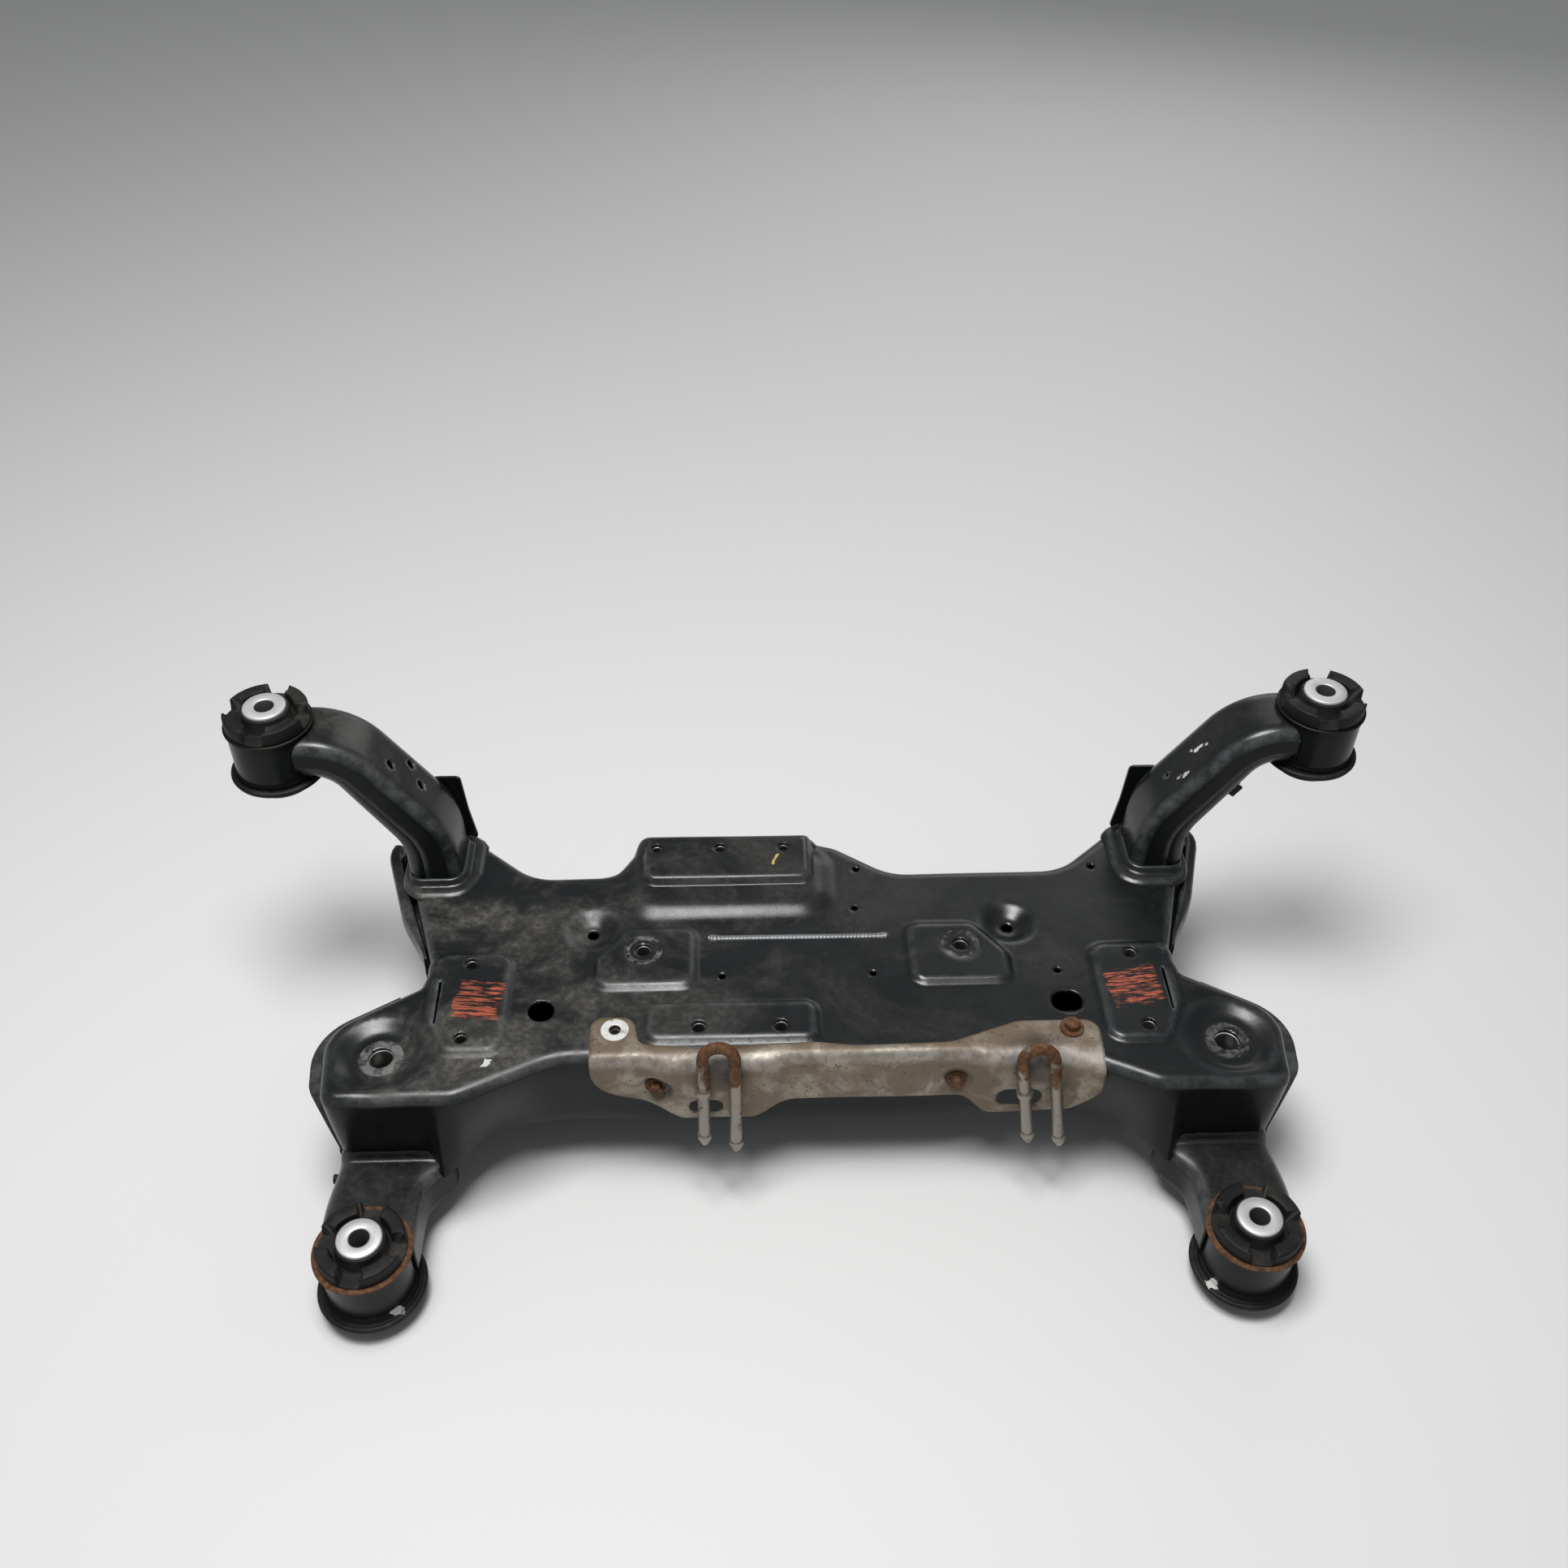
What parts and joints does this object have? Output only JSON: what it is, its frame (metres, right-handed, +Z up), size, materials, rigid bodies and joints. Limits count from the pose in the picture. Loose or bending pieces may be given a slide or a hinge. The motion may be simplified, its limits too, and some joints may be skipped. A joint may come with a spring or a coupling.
{
  "type": "front subframe",
  "caption": "Front subframe of a car: black pressed box with stepped rear arms, curved horns, rubber body mounts and a galvanised exhaust-hanger bracket.",
  "frame": {"origin": "middle of the part on the surface that it stands on", "axes": "+X to the right seen from behind the car, +Y to the front of the car, +Z up"},
  "size_m": [0.98, 0.435, 0.335],
  "materials": {
    "coated_steel": "satin black coating with dust and scuffs",
    "rusty_steel": "rusted",
    "rubber": "matte",
    "alloy": "turned, dull",
    "galvanised": "dull zinc with brown stains",
    "plain_steel": "dull, lightly rusted",
    "plastic": "matte"
  },
  "bodies": {
    "root": {"upper_shell": "coated_steel", "lower_shell": "coated_steel", "control_arm_bracket_left": "coated_steel", "control_arm_bracket_right": "coated_steel", "horn_upper_left": "coated_steel", "horn_upper_right": "coated_steel", "horn_lower_left": "coated_steel", "horn_lower_right": "coated_steel", "horn_gusset_left": "coated_steel", "horn_gusset_right": "coated_steel", "rear_tube_left": "coated_steel", "rear_tube_right": "coated_steel", "front_tube_left": "coated_steel", "front_tube_right": "coated_steel", "rear_can_left": "rusty_steel", "rear_can_right": "rusty_steel", "front_can_left": "rusty_steel", "front_can_right": "rusty_steel", "bracket_bolts": "rusty_steel", "bracket_weld_nuts": "rusty_steel", "rear_rubber_left": "rubber", "rear_rubber_right": "rubber", "front_rubber_left": "rubber", "front_rubber_right": "rubber", "rear_sleeve_left": "alloy", "rear_sleeve_right": "alloy", "front_sleeve_left": "alloy", "front_sleeve_right": "alloy", "exhaust_bracket": "galvanised", "hanger_rod_left": "plain_steel", "hanger_rod_right": "plain_steel", "rack_weld_nuts": "plain_steel", "clamp_weld_nuts": "plain_steel", "tall_pad_weld_nuts": "plain_steel", "low_pad_weld_nuts": "plain_steel", "horn_weld_nuts": "plain_steel", "harness_clip": "plastic", "arm_stud": "plastic"}
  },
  "joints": []
}
